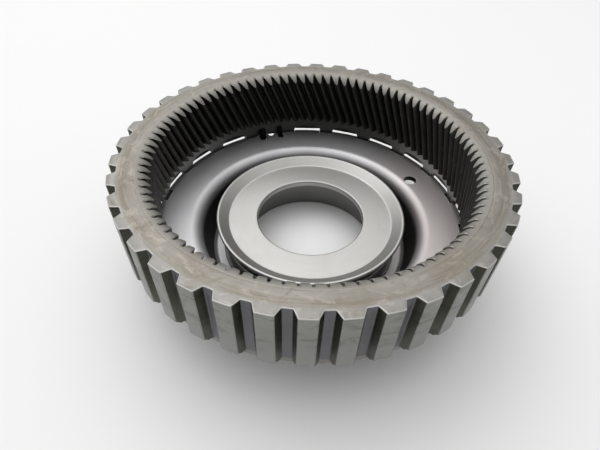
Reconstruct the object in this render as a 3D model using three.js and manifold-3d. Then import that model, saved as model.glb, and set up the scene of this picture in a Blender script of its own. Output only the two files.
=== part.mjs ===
// Ring gear assembly of a planetary gear set, in millimetres, +Z up, resting on its hub at z = 0.
// An internal helical ring gear with lugs on its rim stands on a drawn support flange. A snap ring
// holds the two together, and a roller thrust bearing with a dished race turns on the flange's hub.
import * as THREE from 'three';
import { mergeVertices } from 'three/addons/utils/BufferGeometryUtils.js';
import Module from 'manifold-3d';

const wasm = await Module();
wasm.setup();
const RAD = Math.PI / 180;

// Ring gear: heights
const TOP_Z = 63, LUG_BASE_Z = 31.4, RIM_Z = 28.3, RING_BASE_Z = 23.6, TOOTH_END_Z = 33.5;
// Ring gear: lugs on the rim
const LUG_COUNT = 40, LUG_PHASE = 8.04, LUG_TIP_R = 90, LUG_FLOOR_R = 86.4, RIM_R = 86.1;
const LUG_TIP_HALF = 2.1, LUG_FOOT_HALF = 3.22, LUG_CHAMFER = 1.4, RING_BASE_R = 82.5;
// Ring gear: helical teeth
const TEETH = 96, TOOTH_TIP_R = 72.8, TOOTH_ROOT_R = 76.7, SPACE_PHASE = 0.3;
const HELIX_DEG_PER_MM = 0.319;
// Ring gear: [radius, half width] of a tooth space, and the rounded tooth ends as [radius, height]
const SPACE = [[TOOTH_TIP_R, 2.05], [74.1, 1.15], [TOOTH_ROOT_R, 0.4]];
const TOOTH_END = [[70.3, 55.7], [75.3, 62.1], [78.4, TOP_Z]];
// Ring gear: relief bore, pockets for the flange's teeth and legs that pass the flange
const RELIEF_R = 77, TABS = 20, TAB_PITCH = 18, POCKET_PHASE = 92, GAP_ANGLE = 110;
const POCKET_HALF_WIDTH = 8.15, POCKET_WALL_R = 78.4, POCKET_STEP_R = 81.2, POCKET_STEP_Z = 24.95;
const POCKET_OPEN_Z = 20, POCKET_SPRING_Z = 24.6, POCKET_CROWN_Z = 28.1;
const LEG_R = 79.2, LEG_HALF = 2.8, LEG_BASE_Z = 18.6;
const GROOVE_R = 77.9, GROOVE_Z = [19.7, 21.5];
// Support flange: [radius, height] down its upper face, then back along its lower face
const RIM_TOP_Z = 24.3, FLOOR_TOP_Z = 3.6, SHEET = 2.8, FLANGE_TIP_R = 78.5, FLANGE_BORE_R = 42.8;
const SHOULDER = [[76, RIM_TOP_Z], [66, 23.6], [61.5, 23.2], [58.4, 22.2], [56.2, 19.8], [55.2, 16.6]];
const CUP_FOOT = [[51.9, 6.2], [50.4, 4], [48.8, FLOOR_TOP_Z]];
const UNDERSIDE = [[50.6, FLOOR_TOP_Z - SHEET], [53.4, 2], [58, 15.9], [60, 19.4], [66, 20.7]];
// Support flange: cuts
const NOTCH_R = 75.5, NOTCH_HALF = 3.05, MISSING_HALF = 9, SLOT_R = 71.2, SLOT_CLEARANCE = 0.4;
const SCALLOP_R = 1.8, SCALLOP_AT = 75.7, SCALLOP_ANGLE = 109.75;
const DRAIN_R = 3.5, DRAIN_AT = 64.1, DRAIN_ANGLE = 28;
// Snap ring: its two ends turn in and up on either side of the gap
const SNAP_R = [74.6, 77.6], SNAP_Z = [20, 21.2], SNAP_ENDS = [[112.4, 115.7], [104.3, 106.7]];
const SNAP_EAR_R = 71.6, SNAP_TAB_R = [75.6, 76.7], SNAP_TAB_Z = 28;
// Hub and thrust bearing
const HUB_R = [34.7, 42.5], HUB_TOP_Z = 13.9, HUB_COLLAR_R = 46, HUB_COLLAR_Z = [3.9, 6.6];
const HUB_CHAMFER = 0.8;
const LOWER_RACE_R = [34.2, 45], LOWER_RACE_Z = [14.2, 15.5];
const CAGE_R = [34.4, 44.4], CAGE_Z = [16.4, 18];
const ROLLERS = 24, ROLLER_R = 1.4, ROLLER_LENGTH = 6.4, ROLLER_PITCH_R = 39.5, ROLLER_Z = 17.2;
const ROLLER_CLEARANCE = 0.3;
const RACE_BORE_R = 27.4, RACE_Z = [18.9, 22], RACE_BREAK = 0.7;
const RACE_LIP_BELOW = [[40.6, RACE_Z[0]], [42.6, 19.8], [47.9, 23.3], [48.2, 24.6]];
const RACE_LIP_ABOVE = [[47.7, 25.5], [47, 25.5], [42.2, 22.2], [41.3, RACE_Z[1]]];
// Facets around each kind of round, and how far cutting solids run past what they cut
const RING_FACETS = 80, FLANGE_FACETS = 72, RACE_FACETS = 60, HUB_FACETS = 48, HOLE_FACETS = 32;
const SNAP_FACETS = 66, ROLLER_FACETS = 12, OVERCUT = 0.5, FAR_CUT = 6;

// ---- helpers: three.js geometry in and out of the boolean kernel ----
function solid(geometry) {
  geometry.deleteAttribute('normal');
  geometry.deleteAttribute('uv');
  const g = mergeVertices(geometry, 1e-4);
  const mesh = new wasm.Mesh({
    numProp: 3,
    vertProperties: new Float32Array(g.attributes.position.array),
    triVerts: new Uint32Array(g.index.array),
  });
  mesh.merge();
  return new wasm.Manifold(mesh);
}

function geometryOf(manifold) {
  const mesh = manifold.getMesh();
  const g = new THREE.BufferGeometry();
  g.setAttribute('position', new THREE.BufferAttribute(new Float32Array(mesh.vertProperties), 3));
  g.setIndex(new THREE.BufferAttribute(new Uint32Array(mesh.triVerts), 1));
  g.computeVertexNormals();
  return g;
}

// A closed [radius, height] profile turned about +Z, listed anticlockwise.
function revolve(profile, segments) {
  const points = profile.map(([r, z]) => new THREE.Vector2(r, z));
  if (profile[0][0] > 0) points.push(points[0].clone());
  return solid(new THREE.LatheGeometry(points, segments).rotateX(Math.PI / 2));
}

// A flat outline of [x, y] points raised from z0 to z1, with optional holes.
function raise(outline, z0, z1, { holes = [], steps = 1 } = {}) {
  const shape = new THREE.Shape(outline.map(([x, y]) => new THREE.Vector2(x, y)));
  shape.holes = holes.map((h) => new THREE.Path(h.map(([x, y]) => new THREE.Vector2(x, y))));
  const g = new THREE.ExtrudeGeometry(shape, { depth: z1 - z0, steps, bevelEnabled: false });
  return g.translate(0, 0, z0);
}

const polar = (r, degrees) => [r * Math.cos(degrees * RAD), r * Math.sin(degrees * RAD)];

const circle = (r, count) => Array.from({ length: count }, (_, i) => polar(r, (i * 360) / count));

function arc(r, from, to, count) {
  return Array.from({ length: count + 1 }, (_, i) => polar(r, from + ((to - from) * i) / count));
}

// A ring sector between two radii and two angles, raised from z0 to z1.
function sector(r0, r1, from, to, z0, z1) {
  const count = Math.max(1, Math.round((to - from) / 4));
  return solid(raise([...arc(r1, from, to, count), ...arc(r0, to, from, count)], z0, z1));
}

const cylinder = (r, z0, z1, count) => solid(raise(circle(r, count), z0, z1));

const joined = (solids) => solids.reduce((a, b) => a.add(b));

const around = (count, make) => Array.from({ length: count }, (_, i) => make(i));

// ---- ring gear ----
function lugOutline() {
  const points = [];
  for (let i = 0; i < LUG_COUNT; i++) {
    const at = LUG_PHASE + (i * 360) / LUG_COUNT;
    points.push(polar(LUG_FLOOR_R, at - LUG_FOOT_HALF), polar(LUG_TIP_R, at - LUG_TIP_HALF));
    points.push(polar(LUG_TIP_R, at + LUG_TIP_HALF), polar(LUG_FLOOR_R, at + LUG_FOOT_HALF));
  }
  return points;
}

// The space between the teeth, from below their lower ends to above the top face.
function toothSpace() {
  const flank = SPACE.map(([r, half]) => [r, half / r / RAD]);
  const points = around(TEETH, (i) => {
    const at = SPACE_PHASE + (i * 360) / TEETH;
    const rising = flank.map(([r, half]) => polar(r, at - half));
    const falling = flank.map(([r, half]) => polar(r, at + half)).reverse();
    return [...rising, ...falling];
  }).flat();
  const g = raise(points, TOOTH_END_Z - OVERCUT, TOP_Z + OVERCUT, { steps: 2 });
  const position = g.attributes.position;
  const v = new THREE.Vector3(), axis = new THREE.Vector3(0, 0, 1);
  for (let i = 0; i < position.count; i++) {
    v.fromBufferAttribute(position, i);
    v.applyAxisAngle(axis, (v.z - TOP_Z) * HELIX_DEG_PER_MM * RAD);
    position.setXYZ(i, v.x, v.y, v.z);
  }
  return solid(g);
}

// A prism cut into the relief bore as far as a flat wall, from an outline of [across, height].
function wallCut(outline, wall, at) {
  const inner = RELIEF_R - FAR_CUT;
  const g = raise(outline, 0, wall - inner);
  g.applyMatrix4(new THREE.Matrix4().makeBasis(
    new THREE.Vector3(0, 1, 0), new THREE.Vector3(0, 0, 1), new THREE.Vector3(1, 0, 0)));
  return solid(g.translate(inner, 0, 0).rotateZ(at * RAD));
}

// One pocket: arched roof, open inward and downward, with a step in the ring's lower edge.
function pocket(at) {
  const w = POCKET_HALF_WIDTH, rise = POCKET_CROWN_Z - POCKET_SPRING_Z;
  const right = [[w, POCKET_OPEN_Z], [w, POCKET_SPRING_Z], [w - 0.9, POCKET_SPRING_Z + 0.57 * rise],
    [w - 3.6, POCKET_SPRING_Z + 0.89 * rise]];
  const mirrored = (points) => points.map(([x, z]) => [-x, z]).reverse();
  const arch = [...right, [0, POCKET_CROWN_Z], ...mirrored(right)];
  const step = [[w, POCKET_OPEN_Z], [w, POCKET_STEP_Z]];
  return wallCut(arch, POCKET_WALL_R, at).add(wallCut([...step, ...mirrored(step)], POCKET_STEP_R, at));
}

function ringGear() {
  const lugs = solid(raise(lugOutline(), LUG_BASE_Z - 1, TOP_Z));
  const envelope = revolve([[0, LUG_BASE_Z], [LUG_TIP_R - LUG_CHAMFER, LUG_BASE_Z],
    [LUG_TIP_R + 1, LUG_BASE_Z + LUG_CHAMFER + 1], [LUG_TIP_R + 1, TOP_Z + 1], [0, TOP_Z + 1]],
  RING_FACETS);
  const body = revolve([[0, RING_BASE_Z], [RING_BASE_R, RING_BASE_Z], [RIM_R, RIM_Z],
    [RIM_R, LUG_BASE_Z + 1], [0, LUG_BASE_Z + 1]], RING_FACETS);
  const legAngles = around(TABS, (i) => POCKET_PHASE + TAB_PITCH * (i + 0.5));
  const legs = joined(legAngles.map((at) =>
    sector(RELIEF_R - 1, LEG_R, at - LEG_HALF, at + LEG_HALF, LEG_BASE_Z, RING_BASE_Z + OVERCUT)));
  const pocketAngles = around(TABS, (i) => POCKET_PHASE + TAB_PITCH * i)
    .filter((at) => at !== GAP_ANGLE);
  const [lowest, , highest] = TOOTH_END;
  const rounding = revolve([[0, lowest[1]], ...TOOTH_END, [highest[0], TOP_Z + 1], [0, TOP_Z + 1]],
    TEETH);
  const inner = RELIEF_R - FAR_CUT;
  const groove = revolve([[inner, GROOVE_Z[0]], [GROOVE_R, GROOVE_Z[0]], [GROOVE_R, GROOVE_Z[1]],
    [inner, GROOVE_Z[1]]], RING_FACETS);
  return lugs.intersect(envelope).add(body).add(legs)
    .subtract(toothSpace())
    .subtract(cylinder(RELIEF_R, LEG_BASE_Z - 1, TOOTH_END_Z, RING_FACETS))
    .subtract(rounding)
    .subtract(groove)
    .subtract(joined(pocketAngles.map(pocket)));
}

// ---- support flange ----
function supportFlange() {
  const cutZ = [RIM_TOP_Z - 2 * SHEET, RIM_TOP_Z + SHEET];
  const notch = (r, from, to) => sector(r, FLANGE_TIP_R + 1, from, to, ...cutZ);
  const profile = [[FLANGE_TIP_R, RIM_TOP_Z - 1.1], ...SHOULDER, ...CUP_FOOT, [FLANGE_BORE_R, FLOOR_TOP_Z],
    [FLANGE_BORE_R, FLOOR_TOP_Z - SHEET], ...UNDERSIDE, [SHOULDER[0][0], RIM_TOP_Z - SHEET],
    [FLANGE_TIP_R, RIM_TOP_Z - SHEET]];
  const legGaps = around(TABS, (i) => POCKET_PHASE + TAB_PITCH * (i + 0.5))
    .map((at) => notch(NOTCH_R, at - NOTCH_HALF, at + NOTCH_HALF));
  const missingTooth = notch(NOTCH_R, GAP_ANGLE - MISSING_HALF, GAP_ANGLE + MISSING_HALF);
  const slots = SNAP_ENDS.map(([a, b]) => notch(SLOT_R, a - SLOT_CLEARANCE, b + SLOT_CLEARANCE));
  const hole = (r, at, angle) => cylinder(r, ...cutZ, HOLE_FACETS).translate([...polar(at, angle), 0]);
  return revolve(profile, FLANGE_FACETS)
    .subtract(joined([...legGaps, missingTooth, ...slots]))
    .subtract(hole(SCALLOP_R, SCALLOP_AT, SCALLOP_ANGLE))
    .subtract(hole(DRAIN_R, DRAIN_AT, DRAIN_ANGLE));
}

// ---- snap ring ----
function snapRing() {
  const [left, right] = SNAP_ENDS;
  const span = [left[0], right[1] + 360];
  const outer = arc(SNAP_R[1], ...span, SNAP_FACETS);
  const outline = [...outer, ...arc(SNAP_R[0], span[1], span[0], SNAP_FACETS)];
  const ears = SNAP_ENDS.map(([a, b]) => sector(SNAP_EAR_R, SNAP_R[1] - 0.2, a, b, ...SNAP_Z));
  const tabs = SNAP_ENDS.map(([a, b]) => sector(...SNAP_TAB_R, a, b, SNAP_Z[0], SNAP_TAB_Z));
  return joined([solid(raise(outline, ...SNAP_Z)), ...ears, ...tabs]);
}

// ---- hub and thrust bearing ----
function hubSleeve() {
  const [bore, wall] = HUB_R, [c0, c1] = HUB_COLLAR_Z, c = HUB_CHAMFER;
  return revolve([[bore + c, 0], [wall - c, 0], [wall, c], [wall, c0], [HUB_COLLAR_R, c0],
    [HUB_COLLAR_R, c1], [wall, c1], [wall, HUB_TOP_Z], [bore, HUB_TOP_Z], [bore, c]], HUB_FACETS);
}

function lowerRace() {
  const [r0, r1] = LOWER_RACE_R, [z0, z1] = LOWER_RACE_Z;
  return revolve([[r0, z0], [r1, z0], [r1, z1], [r0, z1]], HUB_FACETS);
}

function rollerCage() {
  const half = ROLLER_R + ROLLER_CLEARANCE;
  const r0 = ROLLER_PITCH_R - ROLLER_LENGTH / 2 - ROLLER_CLEARANCE;
  const r1 = ROLLER_PITCH_R + ROLLER_LENGTH / 2 + ROLLER_CLEARANCE;
  const windows = around(ROLLERS, (i) => {
    const a = (i * 360 * RAD) / ROLLERS, c = Math.cos(a), s = Math.sin(a);
    return [[r0, -half], [r1, -half], [r1, half], [r0, half]]
      .map(([x, y]) => [x * c - y * s, x * s + y * c]);
  });
  const holes = [circle(CAGE_R[0], HUB_FACETS), ...windows];
  return solid(raise(circle(CAGE_R[1], RACE_FACETS), ...CAGE_Z, { holes }));
}

function roller(i) {
  const g = new THREE.CylinderGeometry(ROLLER_R, ROLLER_R, ROLLER_LENGTH, ROLLER_FACETS);
  g.rotateZ(Math.PI / 2).translate(ROLLER_PITCH_R, 0, ROLLER_Z);
  return solid(g.rotateZ((i * 2 * Math.PI) / ROLLERS));
}

function dishedRace() {
  const [z0, z1] = RACE_Z;
  return revolve([[RACE_BORE_R, z0], ...RACE_LIP_BELOW, ...RACE_LIP_ABOVE, [RACE_BORE_R + RACE_BREAK, z1],
    [RACE_BORE_R, z1 - RACE_BREAK]], RACE_FACETS);
}

// ---- assembly ----
const group = new THREE.Group();
group.name = 'planetary_ring_gear_assembly';

function place(name, manifold, color, roughness, metalness) {
  const material = new THREE.MeshStandardMaterial({ color, roughness, metalness });
  const mesh = new THREE.Mesh(geometryOf(manifold), material);
  mesh.name = name;
  group.add(mesh);
}

place('ring_gear', ringGear(), 0x77756f, 0.45, 0.9);
place('support_flange', supportFlange(), 0x8f8d92, 0.4, 0.9);
place('snap_ring', snapRing(), 0x2b2a28, 0.5, 0.8);
place('hub_sleeve', hubSleeve(), 0x8a8a88, 0.35, 0.9);
place('thrust_race_lower', lowerRace(), 0xa9a9a6, 0.25, 1);
place('roller_cage', rollerCage(), 0x6f6d68, 0.45, 0.9);
for (let i = 0; i < ROLLERS; i++) {
  place(`thrust_roller_${String(i + 1).padStart(2, '0')}`, roller(i), 0xbcbcba, 0.18, 1);
}
place('thrust_race_upper', dishedRace(), 0xb3b2ad, 0.25, 1);

export default group;
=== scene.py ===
"""Looks of the planetary ring gear assembly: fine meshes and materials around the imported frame.
Lengths below are in millimetres and angles in degrees unless a name says otherwise."""

import math

import bmesh
import bpy
import numpy as np
from mathutils import Matrix, Vector


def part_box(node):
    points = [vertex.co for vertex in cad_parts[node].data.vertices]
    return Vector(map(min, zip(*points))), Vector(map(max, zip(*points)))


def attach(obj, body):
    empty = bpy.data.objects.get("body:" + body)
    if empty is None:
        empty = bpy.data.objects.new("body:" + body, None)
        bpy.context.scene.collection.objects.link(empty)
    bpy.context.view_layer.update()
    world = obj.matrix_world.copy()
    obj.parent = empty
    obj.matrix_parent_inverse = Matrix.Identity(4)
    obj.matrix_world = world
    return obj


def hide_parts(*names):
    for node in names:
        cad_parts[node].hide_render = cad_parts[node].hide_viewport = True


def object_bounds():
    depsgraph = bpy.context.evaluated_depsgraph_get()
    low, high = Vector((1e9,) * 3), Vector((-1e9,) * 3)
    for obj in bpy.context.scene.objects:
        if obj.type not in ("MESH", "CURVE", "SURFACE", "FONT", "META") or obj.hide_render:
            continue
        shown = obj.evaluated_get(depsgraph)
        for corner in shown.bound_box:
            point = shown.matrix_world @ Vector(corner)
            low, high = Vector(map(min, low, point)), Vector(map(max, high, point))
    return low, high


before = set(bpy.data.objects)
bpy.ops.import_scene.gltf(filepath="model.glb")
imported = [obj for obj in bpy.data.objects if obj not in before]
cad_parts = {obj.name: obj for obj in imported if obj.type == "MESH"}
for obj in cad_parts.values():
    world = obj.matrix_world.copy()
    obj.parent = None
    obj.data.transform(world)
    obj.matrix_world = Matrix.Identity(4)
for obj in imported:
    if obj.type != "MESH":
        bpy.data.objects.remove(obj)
cad_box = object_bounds()
MM = 0.001
ROOT = "ring_gear_assembly"


def span(node, axis):
    """Lowest and highest coordinate of a CAD node along one axis, in millimetres."""
    low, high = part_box(node)
    return low[axis] / MM, high[axis] / MM


# Ring gear: heights and radii. The lugs' tips stay just inside the CAD ones.
TOP_Z = span("ring_gear", 2)[1]
TIP_R = min(span("ring_gear", 0)[1], span("ring_gear", 1)[1]) - 0.02
LUG_BASE_Z, RIM_Z, RING_BASE_Z, TOOTH_FOOT_Z = 31.4, 28.3, 23.6, 33.5
LUGS, LUG_PHASE, LUG_FLOOR_R, RIM_R, RING_BASE_R, LUG_CHAMFER = 40, 8.04, 86.4, 86.1, 82.5, 1.4
RELIEF_R, LEG_R, LEG_BASE_Z, GROOVE_R, GROOVE_Z = 77.0, 79.2, 18.6, 77.9, (19.7, 21.5)
# Teeth: HELIX is the turn of a tooth in degrees per millimetre of height
TEETH, SPACE_PHASE, HELIX = 96, 0.3, 0.319
TOOTH_TIP_R, TOOTH_ROOT_R, ROOT_START_R, FACE_R = 72.8, 76.7, 74.5, 78.4
# (radius, height) along the rounded tooth ends
TOOTH_END = ((72.8, 58.9), (74.0, 60.5), (75.0, 61.68), (75.8, 62.22), (76.8, 62.56), (77.6, 62.78),
             (78.4, 62.95))
# (radius, height from the top) across the turned top face: a groove, a land, and a step down to the lugs
TOP_FACE = ((FACE_R, -0.05), (78.62, -0.05), (78.74, -0.12), (78.86, -0.12), (79.0, -0.04), (79.5, -0.02),
            (80.6, 0.0), (81.5, -0.01), (81.9, -0.04), (82.3, -0.15), (82.8, -0.2), (83.5, -0.2),
            (84.6, -0.2), (85.7, -0.2))
LUG_TOP_R = 85
# Pockets for the flange's teeth
TABS, TAB_PITCH, POCKET_PHASE, GAP_ANGLE = 20, 18, 92, 110
POCKET_HALF, POCKET_WALL_R, POCKET_STEP_R, POCKET_STEP_Z = 8.25, 78.4, 81.2, 24.95
POCKET_FLOOR_Z = LEG_BASE_Z - 1.5
# Mesh columns round the ring gear, and the material of each of its bands, in the order of its material list
COLUMNS = 1440
(FLANK, TOOTH_END_FACE, TOP, LUG_TOP, LUG_TIP, LUG_FOOT, RIM, RELIEF, LUG_FLOOR, LUG_FLANK, WEAR_AND_HIGHLIGHT,
 CREST) = range(12)
# Support flange
SHEET, FLANGE_R, FLANGE_BORE_R, FLOOR_TOP_Z, NOTCH_R, NOTCH_HALF = 2.8, 78.5, 42.8, 3.6, 75.5, 3.05
# HIGHLIGHT_STRIP_R is the inner radius of a strip painted as a highlight along the notch edges
GAP_NOTCH_R, HIGHLIGHT_STRIP_R = 76.0, 75.1
DRAIN_R, DRAIN_AT, DRAIN_ANGLE = 3.5, 64.1, 28
SCALLOP_R, SCALLOP_AT, SCALLOP_ANGLE = 1.7, 75.8, 109.75
SNAP_ENDS, SLOT_R, SLOT_CLEARANCE = ((112.4, 115.7), (104.3, 106.7)), 71.2, 0.08
CUT_R, CUT_Z = 80, (15, 30)
# Thrust bearing
ROLLERS, ROLLER_R, ROLLER_LENGTH, ROLLER_PITCH_R, ROLLER_Z = 24, 1.4, 6.4, 39.5, 17.2
# Edges that turn by more than this many degrees are drawn sharp
SHARP = 34


# ---------------------------------------------------------------- geometry helpers
def polar(r, degrees):
    """Points (x, y) at the given radii and angles."""
    a = np.radians(degrees)
    return np.stack([r * np.cos(a), r * np.sin(a)], -1)


def ring_object(name, rows, body, stands_for, materials, shift=0, tags=None):
    """A closed body of rings: rows[j] is a loop of n points round the axis, and the last row closes on the
    first. shift turns that last band by so many columns, and tags gives each band's material index."""
    rows = np.asarray(rows, float)
    m, n, _ = rows.shape
    index = np.arange(m * n).reshape(m, n)
    after = np.roll(index, -1, axis=0)
    after[-1] = np.roll(after[-1], -shift)
    a, b = index, np.roll(index, -1, axis=1)
    d, c = after, np.roll(after, -1, axis=1)
    faces = np.stack([a, b, c, d], -1).reshape(-1, 4)
    mesh = bpy.data.meshes.new(name)
    mesh.from_pydata((rows.reshape(-1, 3) * MM).tolist(), [], faces.tolist())
    if tags is not None:
        bands = [np.broadcast_to(np.asarray(tag, np.int32), (n,)) for tag in tags]
        mesh.polygons.foreach_set("material_index", np.concatenate(bands))
    return finished(name, mesh, body, stands_for, materials)


def finished(name, mesh, body, stands_for, materials):
    """Faces the mesh outward, marks its sharp edges, gives it its materials and puts it on its body."""
    for material in materials:
        mesh.materials.append(material)
    work = bmesh.new()
    work.from_mesh(mesh)
    if work.calc_volume(signed=True) < 0:
        bmesh.ops.reverse_faces(work, faces=work.faces)
    mark_edges(work)
    work.to_mesh(mesh)
    work.free()
    obj = bpy.data.objects.new(name, mesh)
    bpy.context.scene.collection.objects.link(obj)
    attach(obj, body)
    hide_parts(*stands_for)
    return obj


def mark_edges(work):
    limit = math.radians(SHARP)
    for face in work.faces:
        face.smooth = True
    for edge in work.edges:
        edge.smooth = edge.calc_face_angle(0) < limit


def resharpen(obj):
    """Merges doubled points left by a modifier and marks the sharp edges again."""
    work = bmesh.new()
    work.from_mesh(obj.data)
    bmesh.ops.remove_doubles(work, verts=work.verts, dist=1e-6)
    mark_edges(work)
    work.to_mesh(obj.data)
    work.free()


def prism(outline, low, high, matrix=None):
    """A closed prism: outline of (x, y) points raised from low to high, as (vertices, faces)."""
    n = len(outline)
    points = [(x, y, z) for z in (low, high) for x, y in outline]
    if matrix is not None:
        points = [tuple(matrix @ Vector(p)) for p in points]
    faces = [tuple(range(n))[::-1], tuple(range(n, 2 * n))]
    faces += [(i, (i + 1) % n, n + (i + 1) % n, n + i) for i in range(n)]
    return points, faces


def sector(r0, r1, start, end, low, high, step=0.5):
    """A closed block between two radii, two angles and two heights."""
    count = max(2, int(round((end - start) / step)) + 1)
    angles = np.linspace(start, end, count)
    outline = [tuple(p) for p in polar(r1, angles)] + [tuple(p) for p in polar(r0, angles[::-1])]
    return prism(outline, low, high)


def disc(r, at, angle, low, high):
    """A closed upright disc of radius r whose centre lies at radius at and the given angle."""
    count = 64
    centre = polar(at, angle)
    outline = [tuple(centre + p) for p in polar(r, np.arange(count) * 360 / count)]
    return prism(outline, low, high)


def solid_of(parts):
    """One temporary object from several closed parts that don't touch."""
    points, faces = [], []
    for part_points, part_faces in parts:
        base = len(points)
        points += [tuple(c * MM for c in p) for p in part_points]
        faces += [tuple(base + i for i in f) for f in part_faces]
    mesh = bpy.data.meshes.new("cutter")
    mesh.from_pydata(points, [], faces)
    work = bmesh.new()
    work.from_mesh(mesh)
    bmesh.ops.recalc_face_normals(work, faces=work.faces)
    work.to_mesh(mesh)
    work.free()
    obj = bpy.data.objects.new("cutter", mesh)
    bpy.context.scene.collection.objects.link(obj)
    return obj


def boolean(obj, parts, operation="DIFFERENCE"):
    """Applies one boolean with a set of closed parts to obj's mesh."""
    tool = solid_of(parts)
    modifier = obj.modifiers.new("cut", "BOOLEAN")
    modifier.operation, modifier.solver, modifier.object = operation, "MANIFOLD", tool
    graph = bpy.context.evaluated_depsgraph_get()
    result = bpy.data.meshes.new_from_object(obj.evaluated_get(graph))
    obj.modifiers.remove(modifier)
    result.name = obj.name
    obj.data = result
    bpy.data.objects.remove(tool)


def rounded(corners, arc_step):
    """A closed polygon of (r, z, fillet radius) corners with each corner rounded, as an array of (r, z).
    arc_step is the turn in degrees between the points of a fillet."""
    out = []
    n = len(corners)
    for i, (r, z, fillet) in enumerate(corners):
        p = np.array([r, z])
        to_a = np.array(corners[i - 1][:2]) - p
        to_b = np.array(corners[(i + 1) % n][:2]) - p
        ua, ub = to_a / np.linalg.norm(to_a), to_b / np.linalg.norm(to_b)
        half = math.acos(max(-1.0, min(1.0, float(ua @ ub)))) / 2
        if fillet <= 0 or half > math.radians(89.5):
            out.append(p)
            continue
        reach = fillet / math.tan(half)
        centre = p + (ua + ub) / np.linalg.norm(ua + ub) * fillet / math.sin(half)
        a0 = math.atan2(*(p + ua * reach - centre)[::-1])
        a1 = math.atan2(*(p + ub * reach - centre)[::-1])
        turn = (a1 - a0 + math.pi) % (2 * math.pi) - math.pi
        steps = max(2, int(abs(math.degrees(turn)) / arc_step))
        for k in range(steps + 1):
            a = a0 + turn * k / steps
            out.append(centre + fillet * np.array([math.cos(a), math.sin(a)]))
    return np.array(out)


def subdivided(profile, longest):
    """The closed profile with extra points so that no stretch is longer than longest."""
    out = []
    for p, q in zip(profile, np.roll(profile, -1, axis=0)):
        pieces = max(1, int(math.ceil(np.linalg.norm(q - p) / longest)))
        out += [p + (q - p) * k / pieces for k in range(pieces)]
    return np.array(out)


def turned(profile, columns):
    """Rows for ring_object from a closed (r, z) profile turned about the axis."""
    angles = np.arange(columns) * 360 / columns
    rows = []
    for r, z in profile:
        xy = polar(r, angles)
        rows.append(np.column_stack([xy, np.full(columns, z)]))
    return np.array(rows)


# ---------------------------------------------------------------- ring gear
def space_keys():
    """(arc length from the space's centre, radius) of the 15 points along one tooth pitch: the middle, one
    side out to the tooth's tip, then the next tooth's side back in."""
    half = [(0.22, TOOTH_ROOT_R - 0.03), (0.40, TOOTH_ROOT_R - 0.2), (0.58, 75.8), (0.84, 74.95),
            (1.17, 74.1), (1.60, 73.35), (2.08, TOOTH_TIP_R + 0.04)]
    return [(0.0, TOOTH_ROOT_R), *half, *[(-x, r) for x, r in half[::-1]]]


def tooth_columns():
    """Angle and radius of each column of the tooth profile at the top face."""
    keys = space_keys()
    half = len(keys) // 2
    angles, radii = [], []
    for tooth in range(TEETH):
        for i, (x, r) in enumerate(keys):
            centre = SPACE_PHASE + 360 / TEETH * (tooth + (i > half))
            angles.append(centre + math.degrees(x / r))
            radii.append(r)
    return np.array(angles), np.array(radii)


def lug_columns():
    """Angle and radius of each column of the lugged outline: floor, fillet, straight flank, rounded tip."""
    foot, head = (-3.17, LUG_FLOOR_R + 0.38), (-2.2, TIP_R - 0.34)
    half = [(-4.5, LUG_FLOOR_R), (-4.1, LUG_FLOOR_R), (-3.75, LUG_FLOOR_R), (-3.45, LUG_FLOOR_R + 0.02),
            (-3.28, LUG_FLOOR_R + 0.14), foot]
    for t in (0.2, 0.4, 0.6, 0.8, 1.0):
        half.append((foot[0] + (head[0] - foot[0]) * t, foot[1] + (head[1] - foot[1]) * t))
    half += [(-2.14, TIP_R - 0.15), (-2.04, TIP_R - 0.03), (-1.9, TIP_R), (-1.45, TIP_R), (-1.0, TIP_R),
             (-0.6, TIP_R), (-0.3, TIP_R)]
    pitch = [*half, (0.0, TIP_R), *[(-a, r) for a, r in half[:0:-1]]]
    angles, radii = [], []
    for lug in range(LUGS):
        for a, r in pitch:
            angles.append(LUG_PHASE + 360 / LUGS * lug + a)
            radii.append(r)
    return np.array(angles), np.array(radii)


def inset(angles, radii, amount):
    """The outline moved inward by amount along its own normals."""
    p = polar(radii, angles)
    along = np.roll(p, -1, axis=0) - np.roll(p, 1, axis=0)
    normal = np.stack([along[:, 1], -along[:, 0]], -1)
    normal /= np.linalg.norm(normal, axis=1)[:, None]
    return p - normal * np.reshape(amount, (-1, 1))


def tooth_bands(angles, radii, end_z, root):
    """The tooth flanks from their foot up to the rounded ends, as bands of (points, heights, material)."""
    crest = (radii < TOOTH_TIP_R + 0.1) & (np.roll(radii, -1) < TOOTH_TIP_R + 0.1)
    wall_top = end_z - 0.14 - 0.5 * root
    for t in np.linspace(0, 1, 12):
        z = TOOTH_FOOT_Z + (wall_top - TOOTH_FOOT_Z) * t
        # outside the spaces the top band is a bright edge: worn metal with a painted highlight
        tag = np.where(root > 0.5, TOOTH_END_FACE, WEAR_AND_HIGHLIGHT) if t == 1 else np.where(crest, CREST, FLANK)
        yield polar(radii, angles + (z - TOP_Z) * HELIX), z, tag


def tooth_end_bands(angles, radii, end_z, root):
    """The broken edge and the rounded tooth ends, out to the inner edge of the top face."""
    broken = inset(angles, radii, -0.12 - 0.68 * root)
    in_r = np.linalg.norm(broken, axis=1)
    in_a = angles + (np.degrees(np.arctan2(broken[:, 1], broken[:, 0])) - angles + 180) % 360 - 180
    for t in (0.0, 0.15, 0.35, 0.6, 0.8):
        r = in_r + (FACE_R - in_r) * t
        z = np.interp(r, *zip(*TOOTH_END))
        yield polar(r, angles + (in_a - angles + (end_z - TOP_Z) * HELIX) * (1 - t)), z, TOOTH_END_FACE


def top_bands(tooth_a, lug_a):
    """The turned top face, whose columns go over from the tooth pattern to the lug pattern."""
    for r, dz in TOP_FACE:
        t = min(1, max(0, (r - FACE_R) / (LUG_FLOOR_R - FACE_R)))
        tag = TOP if r < LUG_TOP_R else LUG_TOP
        yield polar(r, tooth_a + (lug_a - tooth_a) * t), TOP_Z + dz, tag


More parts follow.
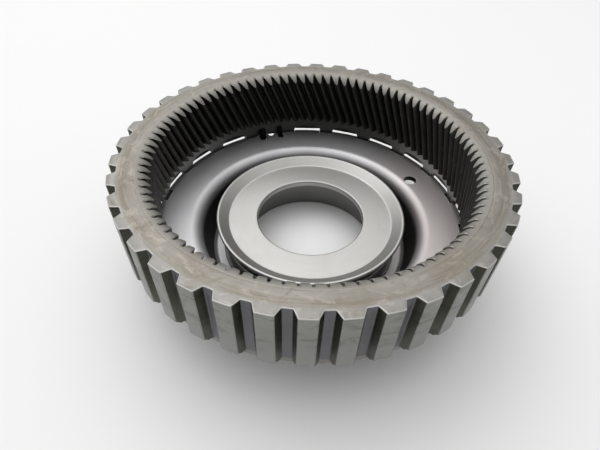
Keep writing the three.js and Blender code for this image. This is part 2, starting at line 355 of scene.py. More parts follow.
def lug_bands(angles, radii):
    """The lugs from their broken top edge down to the chamfer at their foot."""
    # the broken top edge of the lugs: bright worn metal with a painted highlight
    yield inset(angles, radii, 0.34), TOP_Z - 0.2, WEAR_AND_HIGHLIGHT
    yield inset(angles, radii, 0.12), TOP_Z - 0.3, WEAR_AND_HIGHLIGHT
    outline = polar(radii, angles)
    middle = (radii + np.roll(radii, -1)) / 2
    low = np.where(middle < LUG_FLOOR_R + 0.2, LUG_FLOOR, LUG_FLANK)
    side = np.where(middle > TIP_R - 0.3, LUG_TIP, low)
    for z in np.linspace(TOP_Z - 0.52, LUG_BASE_Z + LUG_CHAMFER, 7):
        yield outline, z, side
    yield polar(np.minimum(radii, TIP_R - LUG_CHAMFER), angles), LUG_BASE_Z, LUG_FOOT


def lower_bands(angles):
    """The rim under the lugs, the skirt with its snap ring groove, and the relief bore up to the teeth."""
    edge = 0.3
    profile = [(RIM_R, LUG_BASE_Z - 0.02), (RIM_R, RIM_Z), (RING_BASE_R, RING_BASE_Z), (LEG_R, RING_BASE_Z),
               (LEG_R, LEG_BASE_Z + edge), (LEG_R - edge, LEG_BASE_Z), (RELIEF_R + edge, LEG_BASE_Z),
               (RELIEF_R, LEG_BASE_Z + edge), (RELIEF_R, GROOVE_Z[0]), (GROOVE_R, GROOVE_Z[0]),
               (GROOVE_R, GROOVE_Z[1]), (RELIEF_R, GROOVE_Z[1]), (RELIEF_R, 24.0), (RELIEF_R, 28.0),
               (RELIEF_R, 31.0), (RELIEF_R, TOOTH_FOOT_Z - edge)]
    for r, z in profile:
        yield polar(r, angles), z, RIM if r > RELIEF_R or z < GROOVE_Z[0] else RELIEF
    yield polar(RELIEF_R - 0.1, angles), TOOTH_FOOT_Z, FLANK


def ring_gear(materials):
    tooth_a, tooth_r = tooth_columns()
    lug_a, lug_r = lug_columns()
    # start both patterns at nearly the same angle, so that the columns run straight across the top face
    first = int(np.argmin(np.abs((lug_a - tooth_a[0] + 180) % 360 - 180)))
    lug_r = np.roll(lug_r, -first)
    lug_a = np.roll(lug_a, -first)
    lug_a = lug_a + 360 * np.round((tooth_a - lug_a) / 360)
    end_z = np.interp(tooth_r, *zip(*TOOTH_END))
    # root is 0 on the upper part of a tooth and rises to 1 at the bottom of a space
    root = np.clip((tooth_r - ROOT_START_R) / (TOOTH_ROOT_R - ROOT_START_R), 0, 1) ** 2
    teeth = (tooth_a, tooth_r, end_z, root)
    bands = [*tooth_bands(*teeth), *tooth_end_bands(*teeth), *top_bands(tooth_a, lug_a),
             *lug_bands(lug_a, lug_r), *lower_bands(lug_a)]
    rows = [np.column_stack([xy, np.broadcast_to(z, (COLUMNS,))]) for xy, z, _ in bands]
    tags = [tag for _, _, tag in bands]
    shift = int(round((TOP_Z - TOOTH_FOOT_Z) * HELIX / (360 / COLUMNS)))
    obj = ring_object("ring_gear_body", rows, ROOT, ["ring_gear"], materials, shift, tags)
    tabs = [a for a in (POCKET_PHASE + TAB_PITCH * i for i in range(TABS)) if a != GAP_ANGLE]
    boolean(obj, [pocket(at) for at in tabs])
    boolean(obj, [pocket_step(at) for at in tabs] + [skirt_cut()])
    resharpen(obj)
    return obj


def wall_cut(outline, wall, at):
    """A prism cut outward from the relief bore to a flat wall, from an outline of (across, height)."""
    start = RELIEF_R - 4
    basis = Matrix(((0, 0, 1, start), (1, 0, 0, 0), (0, 1, 0, 0), (0, 0, 0, 1)))
    return prism(outline, 0, wall - start, Matrix.Rotation(math.radians(at), 4, "Z") @ basis)


def upright(half, low, high):
    """A rectangle as an outline of (across, height)."""
    return [(-half, low), (half, low), (half, high), (-half, high)]


def pocket(at):
    """The arched pocket over one flange tooth, cut down through the skirt."""
    w, spring, crown, n = POCKET_HALF, 24.9, 28.1, 20
    arch = [(w * math.cos(math.pi * k / n), spring + (crown - spring) * math.sin(math.pi * k / n) ** 0.8)
            for k in range(n + 1)]
    return wall_cut([(-w, POCKET_FLOOR_Z), (w, POCKET_FLOOR_Z), *arch], POCKET_WALL_R, at)


def pocket_step(at):
    """The step that a pocket leaves in the ring's lower edge."""
    return wall_cut(upright(POCKET_HALF, POCKET_FLOOR_Z, POCKET_STEP_Z), POCKET_STEP_R, at)


def skirt_cut():
    """At the gap the skirt is cut away."""
    return wall_cut(upright(POCKET_HALF, POCKET_FLOOR_Z, RING_BASE_Z), LEG_R + 0.6, GAP_ANGLE)


# ---------------------------------------------------------------- support flange
def flange_profile():
    """Upper surface as a rounded line, and the lower one a sheet's thickness below it."""
    shoulder, foot, far_below, longest = (57.19, 22.87, 6.0), (51.07, FLOOR_TOP_Z, 2.6), -60, 1.6
    upper = rounded([(FLANGE_R, 24.42, 0), shoulder, foot, (FLANGE_BORE_R, FLOOR_TOP_Z, 0),
                     (FLANGE_BORE_R, far_below, 0), (FLANGE_R, far_below, 0)], 5.0)
    upper = np.array([p for p in upper if p[1] > FLOOR_TOP_Z - 0.1])
    line = [upper[0]]
    for p in upper[1:]:
        steps = max(1, int(np.linalg.norm(p - line[-1]) / longest))
        line += [line[-1] + (p - line[-1]) * k / steps for k in range(1, steps + 1)]
    line = np.array(line)
    along = np.gradient(line, axis=0)
    along /= np.linalg.norm(along, axis=1)[:, None]
    normal = np.stack([along[:, 1], -along[:, 0]], -1)
    normal *= np.sign(normal[0, 1]) * -1
    return line, line + normal * SHEET


def with_highlight_strip(line):
    """The upper line with its points near HIGHLIGHT_STRIP_R replaced by one on it, for the strip painted as
    a highlight along the notch edges.
    """
    line = line[np.abs(line[:, 0] - HIGHLIGHT_STRIP_R) > 0.5]
    place = int(np.sum(line[:, 0] > HIGHLIGHT_STRIP_R))
    height = np.interp(HIGHLIGHT_STRIP_R, line[::-1, 0], line[::-1, 1])
    return np.insert(line, place, (HIGHLIGHT_STRIP_R, height), axis=0)


def support_flange(materials):
    upper, lower = flange_profile()
    edge, bore_end = 0.35, FLANGE_BORE_R + 0.5
    tip = np.array([[FLANGE_R, 22.0], [FLANGE_R, 23.3], [78.38, 23.7], [78.0, 24.0], [77.2, 24.2]])
    inner = with_highlight_strip(upper[(upper[:, 0] < 76.9) & (upper[:, 0] > bore_end)])
    bore = np.array([[FLANGE_BORE_R + edge, FLOOR_TOP_Z], [FLANGE_BORE_R, FLOOR_TOP_Z - edge],
                     [FLANGE_BORE_R, 1.15], [FLANGE_BORE_R + edge, 0.8]])
    under = lower[(lower[:, 0] < 77.9) & (lower[:, 0] > bore_end)][::-1]
    profile = np.vstack([tip, inner, bore, under, [[78.2, 21.7]]])
    obj = ring_object("support_flange_sheet", turned(profile, 720), ROOT, ["support_flange"],
                      materials)
    cut_rim(obj)
    colour_cuts(obj)
    # the bevels get material 1: bright worn edges with a painted highlight
    softened(obj, 0.28, edge_material=1)
    return obj


def cut_rim(obj):
    """Cuts the notches between the flange's teeth, the wide gap, the slots for the snap ring's ends, the
    scallop and the drain hole."""
    half_pitch = TAB_PITCH / 2
    middles = [POCKET_PHASE + TAB_PITCH * (i + 0.5) for i in range(TABS)]
    notches = [sector(NOTCH_R, CUT_R, a - NOTCH_HALF, a + NOTCH_HALF, *CUT_Z)
               for a in middles if abs(a - GAP_ANGLE) > half_pitch + 1]
    reach = half_pitch + NOTCH_HALF
    boolean(obj, notches + [sector(GAP_NOTCH_R, CUT_R, GAP_ANGLE - reach, GAP_ANGLE + reach, *CUT_Z)])
    boolean(obj, [sector(SLOT_R, CUT_R, a - SLOT_CLEARANCE, b + SLOT_CLEARANCE, *CUT_Z, 0.3)
                  for a, b in SNAP_ENDS])
    boolean(obj, [disc(SCALLOP_R, SCALLOP_AT, SCALLOP_ANGLE, *CUT_Z),
                  disc(DRAIN_R, DRAIN_AT, DRAIN_ANGLE, *CUT_Z)])


def colour_cuts(obj):
    """Material 2, near-black painted shade, on the cut walls, and material 1, a painted highlight, on the
    narrow strip behind each notch.
    """
    for face in obj.data.polygons:
        x, y, z = face.center / MM
        turn = (math.degrees(math.atan2(y, x)) - POCKET_PHASE) % TAB_PITCH
        on_highlight_strip = HIGHLIGHT_STRIP_R < math.hypot(x, y) < NOTCH_R and face.normal.z > 0
        if abs(face.normal.z) < 0.3 and z > CUT_Z[0]:
            # the cut walls get near-black painted shade
            face.material_index = 2
        elif on_highlight_strip and abs(turn - TAB_PITCH / 2) < NOTCH_HALF:
            # a painted highlight on the strip along each notch edge
            face.material_index = 1


# ---------------------------------------------------------------- snap ring, hub and bearing
def snap_ring(materials):
    """A flat spring wire with rounded edges; its ends turn in, then up on either side of the gap."""
    low, high, r0, r1, e = 20.0, 21.2, 74.6, 77.6, 0.3
    section = [(r0 + e, low), (r1 - e, low), (r1, low + e), (r1, high - e), (r1 - e, high), (r0 + e, high),
               (r0, high - e), (r0, low + e)]
    steps = 480
    angles = np.linspace(SNAP_ENDS[0][0], SNAP_ENDS[1][1] + 360, steps + 1)
    points = [(*polar(r, a), z) for a in angles for r, z in section]
    n = len(section)
    faces = [tuple(range(n)), tuple(range(steps * n, (steps + 1) * n))[::-1]]
    faces += [(k * n + j, (k + 1) * n + j, (k + 1) * n + (j + 1) % n, k * n + (j + 1) % n)
              for k in range(steps) for j in range(n)]
    mesh = bpy.data.meshes.new("snap_ring_wire")
    mesh.from_pydata([tuple(c * MM for c in p) for p in points], [], faces)
    obj = finished("snap_ring_wire", mesh, ROOT, ["snap_ring"], materials)
    boolean(obj, [sector(71.6, 77.2, a, b, low + 0.02, high - 0.02, 0.4) for a, b in SNAP_ENDS], "UNION")
    boolean(obj, [sector(75.62, 76.68, a, b, low + 0.1, 27.98, 0.4) for a, b in SNAP_ENDS], "UNION")
    softened(obj, 0.15)
    return obj


def softened(obj, width, edge_material=-1):
    """Bevels the sharp edges of a piece and keeps its shading crisp."""
    modifier = obj.modifiers.new("soft edges", "BEVEL")
    modifier.width, modifier.segments = width * MM, 2
    modifier.limit_method, modifier.angle_limit = "ANGLE", math.radians(40)
    modifier.harden_normals, modifier.material = False, edge_material
    graph = bpy.context.evaluated_depsgraph_get()
    obj.data = bpy.data.meshes.new_from_object(obj.evaluated_get(graph))
    obj.modifiers.clear()
    resharpen(obj)


def hub_sleeve(materials):
    profile = rounded([(34.7, 0, 0.7), (42.5, 0, 0.8), (42.5, 3.9, 0.2), (46, 3.9, 0.4), (46, 6.6, 0.4),
                       (42.5, 6.6, 0.3), (42.5, 13.9, 0.5), (34.7, 13.9, 0.6)], 18)
    return ring_object("hub_sleeve_body", turned(subdivided(profile, 1.6), 240), ROOT, ["hub_sleeve"],
                       materials)


def lower_race(materials):
    profile = rounded([(34.2, 14.2, 0.3), (45, 14.2, 0.3), (45, 15.5, 0.3), (34.2, 15.5, 0.3)], 22)
    return ring_object("thrust_race_plate", turned(subdivided(profile, 2.2), 240), ROOT,
                       ["thrust_race_lower"], materials)


def dished_race(materials):
    profile = rounded([(27.4, 18.9, 0.5), (41.0, 18.9, 1.6), (48.15, 23.75, 0.5), (48.05, 25.5, 0.55),
                       (46.95, 25.5, 0.5), (42.1, 22.0, 0.9), (27.4, 22.0, 0.75)], 10)
    return ring_object("thrust_race_dish", turned(subdivided(profile, 0.9), 360), "upper_race",
                       ["thrust_race_upper"], materials)


def roller_cage(materials):
    profile = rounded([(34.4, 16.4, 0.2), (44.4, 16.4, 0.2), (44.4, 18, 0.2), (34.4, 18, 0.2)], 30)
    obj = ring_object("roller_cage_ring", turned(subdivided(profile, 2.5), 240), "cage", ["roller_cage"],
                      materials)
    half, reach = ROLLER_R + 0.3, ROLLER_LENGTH / 2 + 0.3
    near, far = ROLLER_PITCH_R - reach, ROLLER_PITCH_R + reach
    window = [(near, -half), (far, -half), (far, half), (near, half)]
    turns = [Matrix.Rotation(2 * math.pi * i / ROLLERS, 4, "Z") for i in range(ROLLERS)]
    boolean(obj, [prism(window, 15, 19, turn) for turn in turns])
    resharpen(obj)
    return obj


def roller(i, materials):
    """Roller number i of the bearing, a pin with broken ends that lies along its radius."""
    half, edge, columns = ROLLER_LENGTH / 2, 0.12, 48
    turn = Matrix.Rotation(2 * math.pi * i / ROLLERS, 4, "Z")
    loops = [(-half, ROLLER_R * 0.35), (-half, ROLLER_R - edge), (-half + edge, ROLLER_R), (0.0, ROLLER_R),
             (half - edge, ROLLER_R), (half, ROLLER_R - edge), (half, ROLLER_R * 0.35)]
    points, faces = [], []
    for x, r in loops:
        for k in range(columns):
            a = 2 * math.pi * k / columns
            place = Vector((ROLLER_PITCH_R + x, r * math.cos(a), ROLLER_Z + r * math.sin(a)))
            points.append(tuple(turn @ place))
    for low in range(0, (len(loops) - 1) * columns, columns):
        high = low + columns
        faces += [(low + k, low + (k + 1) % columns, high + (k + 1) % columns, high + k)
                  for k in range(columns)]
    faces += [tuple(range(columns)), tuple(range((len(loops) - 1) * columns, len(loops) * columns))[::-1]]
    name = f"roller_{i + 1:02d}_pin"
    mesh = bpy.data.meshes.new(name)
    mesh.from_pydata([tuple(c * MM for c in p) for p in points], [], faces)
    return finished(name, mesh, f"roller_{i + 1:02d}", [f"thrust_roller_{i + 1:02d}"],
                    materials)


# ---------------------------------------------------------------- materials
class Steel:
    """A metal material built node by node. Colours are linear RGB; marks run round the gear axis."""

    def __init__(self, name, color, roughness, metallic=1.0, anisotropic=0.0):
        self.mat = bpy.data.materials.new(name)
        self.mat.use_nodes = True
        self.tree = self.mat.node_tree
        self.shader = self.tree.nodes["Principled BSDF"]
        self.shader.inputs["Metallic"].default_value = metallic
        self.shader.inputs["Anisotropic"].default_value = anisotropic
        self.color = (*color, 1.0)
        self.rough = roughness
        self.normal = None
        coordinate = self.node("ShaderNodeTexCoord")
        self.place = coordinate.outputs["Object"]
        split = self.node("ShaderNodeSeparateXYZ", Vector=self.place)
        self.x, self.y, self.z = split.outputs
        flat = self.node("ShaderNodeCombineXYZ", X=self.x, Y=self.y)
        length = self.node("ShaderNodeVectorMath", operation="LENGTH", Vector=flat.outputs[0])
        self.radius = length.outputs["Value"]
        if anisotropic:
            tangent = self.node("ShaderNodeTangent", direction_type="RADIAL", axis="Z")
            self.tree.links.new(tangent.outputs[0], self.shader.inputs["Tangent"])

    def node(self, kind, operation=None, **inputs):
        made = self.tree.nodes.new(kind)
        if operation:
            made.operation = operation
        for key, value in inputs.items():
            if hasattr(made, key) and key not in made.inputs:
                setattr(made, key, value)
                continue
            target = made.inputs[int(key[1:])] if key[0] == "_" else made.inputs[key.replace("__", " ")]
            if isinstance(value, bpy.types.NodeSocket):
                self.tree.links.new(value, target)
            else:
                target.default_value = value
        return made

    def math(self, operation, a, b=0.0, c=0.0):
        return self.node("ShaderNodeMath", operation, _0=a, _1=b, _2=c).outputs[0]

    def noise(self, vector, scale, detail=4.0, rough=0.55, distortion=0.0):
        made = self.node("ShaderNodeTexNoise", Vector=vector, Scale=scale, Detail=detail, Roughness=rough,
                         Distortion=distortion)
        return made.outputs["Fac"]

    def around(self, along, wander):
        """Coordinates in which noise makes marks that run round the axis, drifting slowly with the angle."""
        run = self.math("MULTIPLY_ADD", self.z, 1.0, self.radius)
        run = self.math("MULTIPLY", run, 1000 * along)
        reach = self.math("MAXIMUM", self.radius, 1e-4)
        cos = self.math("MULTIPLY", self.math("DIVIDE", self.x, reach), wander)
        sin = self.math("MULTIPLY", self.math("DIVIDE", self.y, reach), wander)
        return self.node("ShaderNodeCombineXYZ", X=run, Y=cos, Z=sin).outputs[0]

    def band(self, value, low, high):
        """0 below low, 1 above high, smooth between."""
        made = self.node("ShaderNodeMapRange", interpolation_type="SMOOTHSTEP")
        self.tree.links.new(value, made.inputs["Value"])
        made.inputs["From Min"].default_value, made.inputs["From Max"].default_value = low, high
        return made.outputs["Result"]

    def tint(self, factor, color, amount):
        """Lays a colour over the surface where factor is high."""
        made = self.node("ShaderNodeMix", data_type="RGBA", blend_type="MIX")
        made.inputs["Factor"].default_value = 0
        scaled = self.math("MULTIPLY", factor, amount)
        self.tree.links.new(scaled, made.inputs["Factor"])
        for socket, value in (("A", self.color), ("B", (*color, 1.0))):
            target = [s for s in made.inputs if s.name == socket and s.type == "RGBA"][0]
            if isinstance(value, bpy.types.NodeSocket):
                self.tree.links.new(value, target)
            else:
                target.default_value = value
        self.color = [s for s in made.outputs if s.type == "RGBA"][0]

    def vary_rough(self, factor, amount):
        """Adds amount times (factor - 0.5) to the roughness."""
        self.rough = self.math("MULTIPLY_ADD", self.math("SUBTRACT", factor, 0.5), amount, self.rough)

    def bump(self, height, depth_mm, strength):
        made = self.node("ShaderNodeBump", Strength=strength, Distance=depth_mm * MM, Height=height)
        if self.normal is not None:
            self.tree.links.new(self.normal, made.inputs["Normal"])
        self.normal = made.outputs["Normal"]

    def done(self):
        """Joins the colour, roughness and normal to the shader."""
        finish = {"Base Color": self.color, "Roughness": self.rough, "Normal": self.normal}
        for socket, value in finish.items():
            if isinstance(value, bpy.types.NodeSocket):
                self.tree.links.new(value, self.shader.inputs[socket])
            elif value is not None:
                self.shader.inputs[socket].default_value = value
        return self.mat


def times(color, factors):
    """The colour with each part multiplied, and no part over 1."""
    return tuple(min(1, c * f) for c, f in zip(color, factors))


def turned_steel(name, color, roughness, marks, stain, anisotropic=0.5, grain=1.4, metallic=1.0,
                 mottled=False, tide=None):
    """Steel turned in a lathe: fine rings, a few deeper lines, brownish and dull patches. mottled adds pale
    and brown blotches; tide is the pair of radii between which old oil has left brown streaks."""
    s = Steel(name, color, roughness, metallic, anisotropic)
    fine = s.noise(s.around(grain * 2.2, 1.5), 1.0, 5.0, 0.7)
    broad = s.noise(s.around(0.35, 1.2), 1.0, 3.0, 0.6, 0.4)
    cloud = s.noise(s.place, 34.0, 5.0, 0.6, 0.8)
    fleck = s.noise(s.place, 420.0, 4.0, 0.65)
    s.tint(s.band(cloud, 0.42, 0.72), times(color, (0.80, 0.72, 0.60)), stain)
    s.tint(s.band(broad, 0.5, 0.72), times(color, [1.28] * 3), marks)
    s.tint(s.band(fine, 0.55, 0.75), times(color, (0.55, 0.5, 0.44)), marks * 0.55)
    s.tint(s.band(fleck, 0.62, 0.74), times(color, [0.5] * 3), marks * 0.35)
    if tide:
        smear = s.band(s.noise(s.around(0.9, 4.0), 1.0, 4.0, 0.6, 0.6), 0.40, 0.62)
        inside = s.band(s.radius, (tide[0] - 0.7) * MM, (tide[0] + 0.7) * MM)
        outside = s.band(s.radius, (tide[1] + 0.9) * MM, (tide[1] - 0.9) * MM)
        near = s.math("MULTIPLY", inside, outside)
        s.tint(s.math("MULTIPLY", near, smear), times(color, (0.66, 0.60, 0.48)), 0.6)
    if mottled:
        patch = s.noise(s.around(0.22, 9.0), 1.0, 5.0, 0.65, 1.2)
        s.tint(s.band(patch, 0.5, 0.66), times(color, (1.36, 1.32, 1.32)), 0.7)
        blotch = s.noise(s.place, 95.0, 5.0, 0.7, 1.5)
        s.tint(s.band(blotch, 0.54, 0.7), times(color, (0.74, 0.68, 0.62)), 0.8)
    s.vary_rough(broad, 0.16)
    s.vary_rough(cloud, 0.14)
    s.vary_rough(fleck, 0.10)
    s.bump(fine, 0.02, 0.6)
    s.bump(fleck, 0.012, 0.5)
    return s.done()


def milled_steel(name, color, roughness, smear, amount, rows, metallic, foot):
    """Lug faces: broached along the axis, with dull smears across; foot is the paler colour low down."""
    s = Steel(name, color, roughness, metallic)
    lengthways = s.node("ShaderNodeMapping", Vector=s.place)
    lengthways.inputs["Scale"].default_value = (1400.0, 1400.0, 60.0)
    strokes = s.noise(lengthways.outputs[0], 1.0, 3.0, 0.6)
    across = s.node("ShaderNodeMapping", Vector=s.place)
    across.inputs["Scale"].default_value = (90.0, 90.0, 230.0)
    bars = s.noise(across.outputs[0], 1.0, 4.0, 0.65, 0.6)
    cloud = s.noise(s.place, 130.0, 4.0, 0.6)
    s.tint(s.band(bars, 0.5, 0.66), smear, amount * rows)
    s.tint(s.band(s.z, 52 * MM, 34 * MM), foot, 0.8)
    s.tint(s.band(cloud, 0.48, 0.7), times(color, [1.35] * 3), amount * 0.6)
    s.tint(s.band(strokes, 0.55, 0.8), times(color, [0.62] * 3), amount * 0.5)
    s.vary_rough(bars, 0.2)
    s.vary_rough(cloud, 0.16)
    s.bump(strokes, 0.016, 0.6)
    s.bump(bars, 0.02, 0.35)
    return s.done()


def sheet_steel(name, color, roughness, metallic=1.0, black_band=None, rim_shade=0.0):
    """Drawn sheet: even satin with a faint cloudy sheen and fine scuffs. black_band is the pair of heights
    between which the wall is nearly black; rim_shade is painted shade that darkens the rim towards +Y, and
    with it the whole sheet is made darker and warmer towards +X."""
    s = Steel(name, color, roughness, metallic, 0.25)
    cloud = s.noise(s.place, 26.0, 4.0, 0.55, 0.6)
    scuff = s.noise(s.around(0.8, 3.0), 1.0, 4.0, 0.65, 0.2)
    fleck = s.noise(s.place, 900.0, 3.0, 0.6)
    s.tint(s.band(cloud, 0.45, 0.75), times(color, (0.78, 0.76, 0.80)), 0.45)
    s.tint(s.band(scuff, 0.58, 0.78), times(color, [1.2] * 3), 0.3)
    if rim_shade:
        # painted shade: the outer rim is darker towards +Y
        outer = s.band(s.radius, 64 * MM, 78 * MM)
        s.tint(s.math("MULTIPLY", outer, s.band(s.y, 0.0, 55 * MM)), (0.20, 0.21, 0.23), rim_shade)
        # the whole sheet is made darker and warmer towards +X
        s.tint(s.band(s.x, 20 * MM, 70 * MM), times(color, (0.86, 0.78, 0.74)), 0.8)
    if black_band:
        # the sheet is made nearly black between the two heights, on both of its faces
        above = s.band(s.z, (black_band[0] - 0.6) * MM, (black_band[0] + 0.6) * MM)
        below = s.band(s.z, (black_band[1] + 2.2) * MM, (black_band[1] - 2.2) * MM)
        s.tint(s.math("MULTIPLY", above, below), (0.012, 0.012, 0.012), 0.97)
    s.vary_rough(cloud, 0.12)
    s.vary_rough(scuff, 0.10)
    s.vary_rough(fleck, 0.08)
    s.bump(scuff, 0.008, 0.4)
    s.bump(fleck, 0.004, 0.5)
    return s.done()


def ground_steel(name, color, roughness, anisotropic=0.6):
    """Ground bearing steel: very fine rings, a soft lapped sheen and a few hairlines."""
    s = Steel(name, color, roughness, 1.0, anisotropic)
    fine = s.noise(s.around(3.4, 1.0), 1.0, 4.0, 0.7)
    broad = s.noise(s.around(0.5, 2.2), 1.0, 3.0, 0.5, 0.3)
    cloud = s.noise(s.place, 46.0, 3.0, 0.5, 0.5)
    s.tint(s.band(broad, 0.5, 0.75), times(color, [0.86] * 3), 0.25)
    s.tint(s.band(cloud, 0.5, 0.75), times(color, (0.92, 0.9, 0.86)), 0.5)
    s.tint(s.band(fine, 0.6, 0.8), times(color, [0.72] * 3), 0.175)
    s.vary_rough(fine, 0.10)
    s.vary_rough(cloud, 0.08)
    s.bump(fine, 0.006, 0.25)
    return s.done()


def dark_flank(name, color, roughness, glint, black_above=None, back_shade=0.0):
    """Steel under an oil and oxide film, with thin worn streaks of the glint colour along the axis.
    back_shade is painted shade that darkens it towards +Y, and it is black above the height black_above. The
    flange's cut walls use it as near-black painted shade."""
    s = Steel(name, color, roughness, metallic=0.9)
    stretch = s.node("ShaderNodeMapping", Vector=s.place)
    stretch.inputs["Scale"].default_value = (520.0, 520.0, 90.0)
    streak = s.noise(stretch.outputs[0], 1.0, 4.0, 0.65)
    cloud = s.noise(s.place, 60.0, 3.0, 0.55)
    s.tint(s.band(streak, 0.56, 0.76), glint, 0.6)
    s.tint(s.band(cloud, 0.5, 0.75), times(color, [0.6] * 3), 0.6)
    s.vary_rough(streak, 0.22)
    s.vary_rough(cloud, 0.16)
    s.bump(streak, 0.015, 0.5)
    if back_shade:
        # painted shade: darker towards +Y
        s.tint(s.band(s.y, 40 * MM, 68 * MM), (0.05, 0.05, 0.045), back_shade)
    if black_above:
        s.tint(s.band(s.z, (black_above - 0.2) * MM, (black_above + 0.2) * MM), (0.006, 0.006, 0.006), 0.95)
    return s.done()


# ---------------------------------------------------------------- build
ring_gear([
    dark_flank("tooth_flank", (0.075, 0.073, 0.066), 0.46, glint=(0.17, 0.162, 0.15)),
    turned_steel("tooth_end", (0.30, 0.288, 0.262), 0.58, marks=0.4, stain=0.35, anisotropic=0.1,
                 metallic=0.85),
    turned_steel("top_face", (0.285, 0.27, 0.24), 0.56, marks=0.8, stain=0.55, anisotropic=0.2,
                 metallic=0.85, mottled=True, tide=(82.4, 85.0)),
    turned_steel("lug_top", (0.30, 0.292, 0.275), 0.56, marks=0.8, stain=0.5, anisotropic=0.1, grain=0.8,
                 metallic=0.85, mottled=True),
    milled_steel("lug_tip", (0.25, 0.255, 0.235), 0.42, smear=(0.11, 0.11, 0.085), amount=0.55, rows=0.9,
                 metallic=0.95, foot=(0.30, 0.305, 0.29)),
    turned_steel("lug_foot", (0.24, 0.24, 0.225), 0.45, marks=0.4, stain=0.4),
    turned_steel("ring_rim", (0.26, 0.25, 0.235), 0.42, marks=0.4, stain=0.5),
    # the relief wall carries painted shade towards +Y
    dark_flank("relief_wall", (0.42, 0.42, 0.41), 0.48, glint=(0.6, 0.6, 0.58), back_shade=0.8),
    milled_steel("lug_floor", (0.120, 0.120, 0.128), 0.38, smear=(0.05, 0.05, 0.048), amount=0.4, rows=0.4,
                 metallic=1.0, foot=(0.16, 0.16, 0.17)),
    milled_steel("lug_flank", (0.055, 0.054, 0.044), 0.42, smear=(0.03, 0.029, 0.02), amount=0.7, rows=0.7,
                 metallic=1.0, foot=(0.13, 0.128, 0.11)),
    # bright edges: worn metal with a painted highlight
    dark_flank("rubbed_edge_and_highlight", (0.50, 0.495, 0.48), 0.5, glint=(0.95, 0.94, 0.92)),
    dark_flank("tooth_crest", (0.085, 0.082, 0.075), 0.40, glint=(0.24, 0.232, 0.22)),
])
support_flange([
    sheet_steel("drawn_sheet", (0.60, 0.595, 0.605), 0.48, metallic=0.8, black_band=(5.2, 18.2), rim_shade=0.75),
    # bright worn edges with a painted highlight, and the painted highlight strip by the notches
    ground_steel("edge_wear_and_highlight", (0.85, 0.85, 0.85), 0.5, anisotropic=0.0),
    # near-black painted shade on the cut walls of notches, slots and holes
    dark_flank("cut_wall_shade", (0.05, 0.05, 0.048), 0.5, glint=(0.12, 0.12, 0.11)),
])
snap_ring([dark_flank("spring_wire", (0.16, 0.16, 0.155), 0.45, glint=(0.26, 0.26, 0.25), black_above=21.4)])
hub_sleeve([turned_steel("hub_turned", (0.22, 0.22, 0.215), 0.42, marks=0.4, stain=0.2)])
lower_race([ground_steel("race_ground", (0.40, 0.395, 0.38), 0.30)])
dished_race([ground_steel("race_lapped", (0.455, 0.45, 0.435), 0.44, anisotropic=0.25)])
roller_cage([sheet_steel("cage_pressed", (0.30, 0.29, 0.275), 0.42)])
pin_steel = ground_steel("roller_polished", (0.66, 0.66, 0.65), 0.2, anisotropic=0.0)
for number in range(ROLLERS):
    roller(number, [pin_steel])


# ---------------------------------------------------------------- stage, light and camera
def stage_floor():
    mesh = bpy.data.meshes.new("floor")
    half = 6.0
    corners = [(-half, -half, 0), (half, -half, 0), (half, half, 0), (-half, half, 0)]
    mesh.from_pydata(corners, [], [(0, 1, 2, 3)])
    floor = bpy.data.objects.new("floor", mesh)
    bpy.context.scene.collection.objects.link(floor)
    floor.location.z = cad_box[0].z - 0.0002
    paint = bpy.data.materials.new("floor_paper")
    paint.use_nodes = True
    shader = paint.node_tree.nodes["Principled BSDF"]
    shader.inputs["Base Color"].default_value = (0.86, 0.86, 0.86, 1)
    shader.inputs["Roughness"].default_value = 0.7
    shader.inputs["Specular IOR Level"].default_value = 0.1
    mesh.materials.append(paint)


def area_light(name, at, target, size, watts):
    data = bpy.data.lights.new(name, "AREA")
    data.shape, data.size, data.energy = "DISK", size, watts
    data.specular_factor = 0.4
    lamp = bpy.data.objects.new(name, data)
    bpy.context.scene.collection.objects.link(lamp)
    lamp.location = at
    lamp.rotation_mode = "QUATERNION"
    lamp.rotation_quaternion = (Vector(target) - Vector(at)).to_track_quat("-Z", "Y")


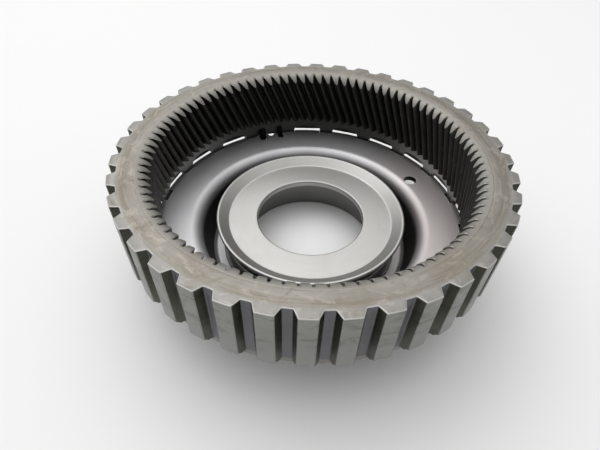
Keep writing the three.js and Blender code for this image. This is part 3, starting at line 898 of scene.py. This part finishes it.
def world_light(low, high, lamp_side, lamp, front):
    """A white room: dim walls, a bright ceiling, brightest towards lamp_side and dimmer towards -Y. low is
    the walls' brightness and the two heights between which it rises to high."""
    world = bpy.data.worlds.new("studio")
    world.use_nodes = True
    bpy.context.scene.world = world
    tree = world.node_tree

    def node(kind, operation, *values):
        made = tree.nodes.new(kind)
        if operation:
            made.operation = operation
        for socket, value in zip(made.inputs, values):
            if isinstance(value, bpy.types.NodeSocket):
                tree.links.new(value, socket)
            else:
                socket.default_value = value
        return made

    def ramp(value, start, end, first, last):
        made = node("ShaderNodeMapRange", None, value, start, end, first, last)
        made.interpolation_type = "SMOOTHSTEP"
        return made.outputs[0]

    towards = tree.nodes.new("ShaderNodeTexCoord").outputs["Generated"]
    split = node("ShaderNodeSeparateXYZ", None, towards)
    height = ramp(split.outputs["Z"], *low[1:], low[0], high)
    aim = node("ShaderNodeVectorMath", "DOT_PRODUCT", towards, Vector(lamp_side).normalized())
    glow = ramp(aim.outputs["Value"], 0.35, 1.0, 0.0, lamp)
    side = ramp(split.outputs["Y"], -0.9, 0.1, front, 1.0)
    total = node("ShaderNodeMath", "ADD", height, glow).outputs[0]
    light = node("ShaderNodeMath", "MULTIPLY", total, side).outputs[0]
    tree.links.new(light, tree.nodes["Background"].inputs["Color"])


def camera():
    """The studio camera. Its aim and distance are shares of the radius over the lugs."""
    tilt, roll, lens, reach = math.radians(44.8415), math.radians(1.9937), 25.675, 90.0
    aim, distance = Vector((-0.0577, -0.5445, 0)), 1.7786
    back = Vector((0, -math.cos(tilt), math.sin(tilt)))
    up, right = Vector((0, math.sin(tilt), math.cos(tilt))), Vector((1, 0, 0))
    right, up = (math.cos(roll) * right + math.sin(roll) * up, -math.sin(roll) * right + math.cos(roll) * up)
    centre = aim * reach + Vector((0, 0, TOP_Z))
    data = bpy.data.cameras.new("camera")
    data.lens, data.sensor_width, data.clip_start = lens, 36.0, 0.01
    obj = bpy.data.objects.new("camera", data)
    bpy.context.scene.collection.objects.link(obj)
    turn = Matrix((right, up, back)).transposed()
    obj.matrix_world = Matrix.Translation((centre + back * distance * reach) * MM) @ turn.to_4x4()
    bpy.context.scene.camera = obj


stage_floor()
world_light(low=(0.42, 0.45, 0.95), high=1.2, lamp_side=(-0.45, 0.5, 0.75), lamp=0.65, front=0.6)
area_light("key", (-0.30, 0.40, 0.95), (0, 0, 0.03), 0.8, 1.6)
camera()
bpy.context.scene.view_settings.view_transform = "Standard"
